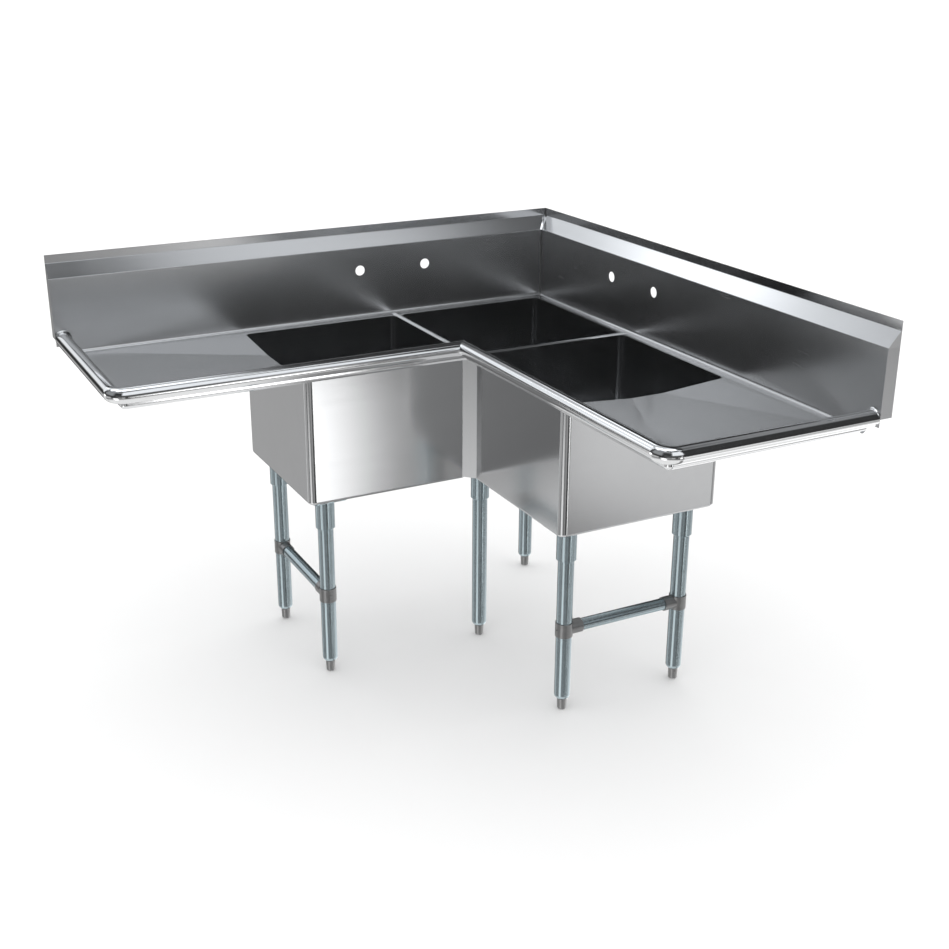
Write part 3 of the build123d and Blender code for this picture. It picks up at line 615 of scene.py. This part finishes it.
end_rows = [
    end_section(ROLL_END - ROLL_RADIUS, z, -1, 0, END_ROUND) for z in (DECK + COVE, ROLL_Z - END_ROUND)
]
for degrees in range(180, 4, -8):
    out_along, out_up = math.cos(math.radians(degrees)), math.sin(math.radians(degrees))
    along, height = ROLL_END + ROLL_RADIUS * out_along, ROLL_Z + ROLL_RADIUS * out_up
    space = ROLL_RADIUS * (1 - out_along) / out_along if out_along > 0 else END_ROUND
    end_rows.append(end_section(along, height, out_along, out_up, min(END_ROUND, space)))
for side in SIDES:
    rows = end_rows if side == "left" else [[(y, x, z) for x, y, z in row] for row in end_rows]
    fit(lofted(f"rim_end_weld_{side}", ROLL, rows), "sink", "polished_stainless")

# threads on the drain cups and on their outlets
OUTLET_LENGTH, OUTLET_BARE, OUTLET_CRESTS, OUTLET_THREADED = 0.024, 0.001, 0.0246, 0.018
CUP_BARE, CUP_CRESTS, CUP_UNTHREADED = 0.004, 0.0418, 0.005
outlet_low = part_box("drain_body_left")[0][2]
nut_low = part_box("drain_lock_nuts")[0][2]
cup_bottom = outlet_low + OUTLET_LENGTH
drains = [centre(f"drain_body_{bowl}") for bowl in BOWLS]
cup_threads = grown(
    THREAD, "drain_cup_threads", DRAIN, [(x, y, cup_bottom + CUP_BARE) for x, y in drains],
    Radius=CUP_CRESTS, Height=nut_low - cup_bottom - CUP_UNTHREADED, Pitch=0.0025, Ridge=0.0007,
)
fit(cup_threads, "sink", "drain_metal")
outlet_threads = grown(
    THREAD, "drain_outlet_threads", DRAIN, [(x, y, outlet_low + OUTLET_BARE) for x, y in drains],
    Radius=OUTLET_CRESTS, Height=OUTLET_THREADED, Pitch=0.0022, Ridge=0.0006,
)
fit(outlet_threads, "sink", "drain_metal")

# weld beads: each socket to its gusset plate, and each side of a plate to its bowl, in two runs
GUSSET_HALF, WELD_RUNS = 0.046, ((-0.030, -0.008), (0.008, 0.030))
plate_low, plate_high = (corner[2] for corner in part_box("gusset_plates"))
beads = [hoop(centre(f"leg_{leg}"), SOCKET_RADIUS, plate_low) for leg in LEGS]
for leg in LEGS:
    x, y = centre(f"leg_{leg}")
    for a, b in ((1, 0), (0, 1), (-1, 0), (0, -1)):
        beads += [
            run_of([(x + GUSSET_HALF * a + s * b, y + GUSSET_HALF * b + s * a, plate_high) for s in ends])
            for ends in WELD_RUNS
        ]
fit(grown(WELD, "gusset_welds", BEAD, *many(beads)), "sink", "galvanised_steel")


# ---------------------------------------------------------------- studio
FLOOR_HALF = 80
floor_mesh = bpy.data.meshes.new("floor")
floor_corners = [(FLOOR_HALF * x, FLOOR_HALF * y, 0) for x, y in ((-1, -1), (1, -1), (1, 1), (-1, 1))]
floor_mesh.from_pydata(floor_corners, [], [(0, 1, 2, 3)])
floor = bpy.data.objects.new("floor", floor_mesh)
bpy.context.scene.collection.objects.link(floor)
pale = Finish(bpy.data.materials.new("pale_floor"))
dust = pale.noise(pale.place(), 3.0, 3.0, 0.5)
paint(floor, pale.surface(pale.tint(dust, grey(0.885), grey(0.90)), 0.9, Metallic=0.0))
floor.visible_glossy = False

world = bpy.data.worlds.new("studio")
bpy.context.scene.world = world
sky = Finish(world)
toward = sky.node("ShaderNodeTexCoord", out="Generated")


def axis_part(direction):
    """How far a direction of the studio lies along this one, from -1 to 1."""
    return sky.node("ShaderNodeVectorMath", {"operation": "DOT_PRODUCT"}, toward, direction, out="Value")


part_x, part_y, part_z = (axis_part(axis) for axis in ((1, 0, 0), (0, 1, 0), (0, 0, 1)))
DEGREES = 180 / math.pi
rise = DEGREES * part_z.math("ARCSINE", part_z)
turn_front = DEGREES * part_x.math("ARCTAN2", part_x, -1.0 * part_y)
turn_back = DEGREES * part_x.math("ARCTAN2", -1.0 * part_x, part_y)


def between(angle, low, high, low_soft, high_soft):
    """1 between two angles and 0 outside them, with soft edges."""
    return angle.step(low - low_soft, low + low_soft) * (1.0 - angle.step(high - high_soft, high + high_soft))


def panel(turn, turns, turn_soft, rises, rise_soft, power):
    """A soft-edged bright panel of the studio, which only reflections see. Its edges are in degrees."""
    left_soft, right_soft = turn_soft if isinstance(turn_soft, tuple) else (turn_soft, turn_soft)
    across = between(turn, *turns, left_soft, right_soft)
    return power * (across * between(rise, *rises, rise_soft, rise_soft))


# The places and powers are set so that the sheet's reflections have the photograph's tones.
# Turns are counted from the front (-Y) towards the right (+X), or from the back (+Y) towards the left.
# A row: its turns, how soft their edges are, its rises, how soft theirs are, and its power.
FRONT_PANELS = (
    ((-26, 31), (6, 4), (16, 59), 6, 0.95),
    ((2, 14), 2, (-17, -12.8), 1, 0.62),
    ((2, 14), 2, (-12.8, -3.5), 1, 0.16),
    ((13, 21.5), 1.2, (-16.5, -12.6), 1, 0.95),
    ((15, 21.5), 1.5, (-12.6, -4), 1, 0.80),
    ((17.5, 22), 2, (-4, 14), 4, 0.30),
    ((14, 22.4), 0.9, (-25.5, -16.4), 1, 2.45),
    ((24, 34), 2, (-25, -7), 2, 0.22),
    ((31, 43), 2, (-23.0, -13), 1.2, 0.85),
    ((35.5, 43), 2, (-31, -23), 2, 0.60),
    ((43, 58), 3, (-24, -11), 3, 0.50),
    ((38, 58.4), (4.5, 1.2), (56.9, 74), 1.5, 0.94),
    ((60, 130), 8, (43, 55), 5, 0.22),
    ((66, 150), 14, (-46, -12), 6, 0.60),
    ((42, 150), (8, 14), (-46, -26), 2, 0.40),
    ((-29, -12), (2, 4), (-25, -9), 3, 0.42),
    ((-48, -30), (5, 2), (-25, -9), 3, 0.24),
    ((-78, -50), 6, (-45, -18.5), 4, 1.22),
    ((-150, -88), 5, (-26, -10), 4, 0.50),
    ((-125, -72), 8, (8, 45), 8, 0.26),
    ((-110, -30), 10, (47, 60), 6, 0.30),
    ((-60, 28), 6, (-20, 16), 5, 0.04),
    ((-190, 190), 1, (73, 99), 2, 1.4),
    ((-140, -70), 10, (62, 75), 3, 1.4),
)
BACK_PANELS = (
    ((8, 41), 4, (5, 43.5), 4, 0.90),
    ((8, 22), 3, (21, 27), 1.5, 0.25),
    ((33.5, 38.5), 1.5, (17.2, 21), 0.8, 0.80),
    ((17.3, 22.0), 0.9, (31.8, 37.6), 0.9, 1.7),
    ((11, 65), 8, (47, 72), 4, 1.5),
    ((6, 29), (5, 3), (-38, -12), 5, 0.46),
    ((29, 46), 3, (-38, -21.6), 1.2, 0.45),
    ((40, 50), 2, (-22, -13), 2, 0.42),
    ((40.5, 56), (2.5, 2), (-14.6, -3), 1.2, 1.6),
    ((-20, -11), 2, (31, 42), 3, 1.1),
)

# Reflections see a floor that fades out between 50 and 22 degrees below the level, with one darker
# strip to the right, and a straight-sided panel overhead towards the back.
floor_glow = 1.0 - rise.step(-50.0, -22.0)
strip = part_x.step(0.29, 0.34) * (1.0 - part_x.step(0.47, 0.50)) * (1.0 - rise.step(-50.0, -42.0))
room = 0.03 + 0.86 * floor_glow * (1.0 - 0.75 * strip)
for turn, panels in ((turn_front, FRONT_PANELS), (turn_back, BACK_PANELS)):
    for row in panels:
        room = room + panel(turn, *row)
overhead = part_y.step(-0.12, 0.0) * rise.step(28.0, 38.0)
sides = part_x.step(-0.16, -0.04) * (1.0 - part_x.step(0.25, 0.33))
room = room + 0.52 * overhead * sides

# Rough surfaces see an even light, reflections see the room, and the camera sees white.
EVEN_LIGHT = 1.32
camera_ray = sky.node("ShaderNodeLightPath", out="Is Camera Ray")
glossy_ray = Link(sky, camera_ray.socket.node.outputs["Is Glossy Ray"])
level = EVEN_LIGHT + glossy_ray * (room - EVEN_LIGHT)
level = level + camera_ray * (1.0 - level)
cool = sky.tint(glossy_ray * rise.step(-8.0, 20.0), grey(1.0), (0.955, 0.985, 1.02, 1.0))
lit = sky.node("ShaderNodeBackground", None, Color=cool, Strength=level)
sky.node("ShaderNodeOutputWorld", None, lit)

# ---------------------------------------------------------------- camera
# the photograph's camera, solved from the sink: angles in radians, and lengths in its picture in pixels
EYE, TILT_DOWN, TURN_RIGHT = (-1.3637, -2.8022, 1.8510), 0.371, 0.471
PICTURE_SIDE, PICTURE_MIDDLE, FOCAL_PIXELS = 949, 474.5, 1359.9
AXIS_ACROSS, AXIS_DOWN = 456.7, 473.7
SENSOR = 36.0
camera = bpy.data.objects.new("camera", bpy.data.cameras.new("camera"))
bpy.context.scene.collection.objects.link(camera)
camera.location = EYE
camera.rotation_euler = (math.pi / 2 - TILT_DOWN, 0.0, -TURN_RIGHT)
camera.data.sensor_width = SENSOR
camera.data.lens = FOCAL_PIXELS / PICTURE_SIDE * SENSOR
camera.data.shift_x = (PICTURE_MIDDLE - AXIS_ACROSS) / PICTURE_SIDE
camera.data.shift_y = (AXIS_DOWN - PICTURE_MIDDLE) / PICTURE_SIDE
camera.data.clip_end = 300.0
bpy.context.scene.camera = camera
bpy.context.scene.view_settings.view_transform = "Standard"
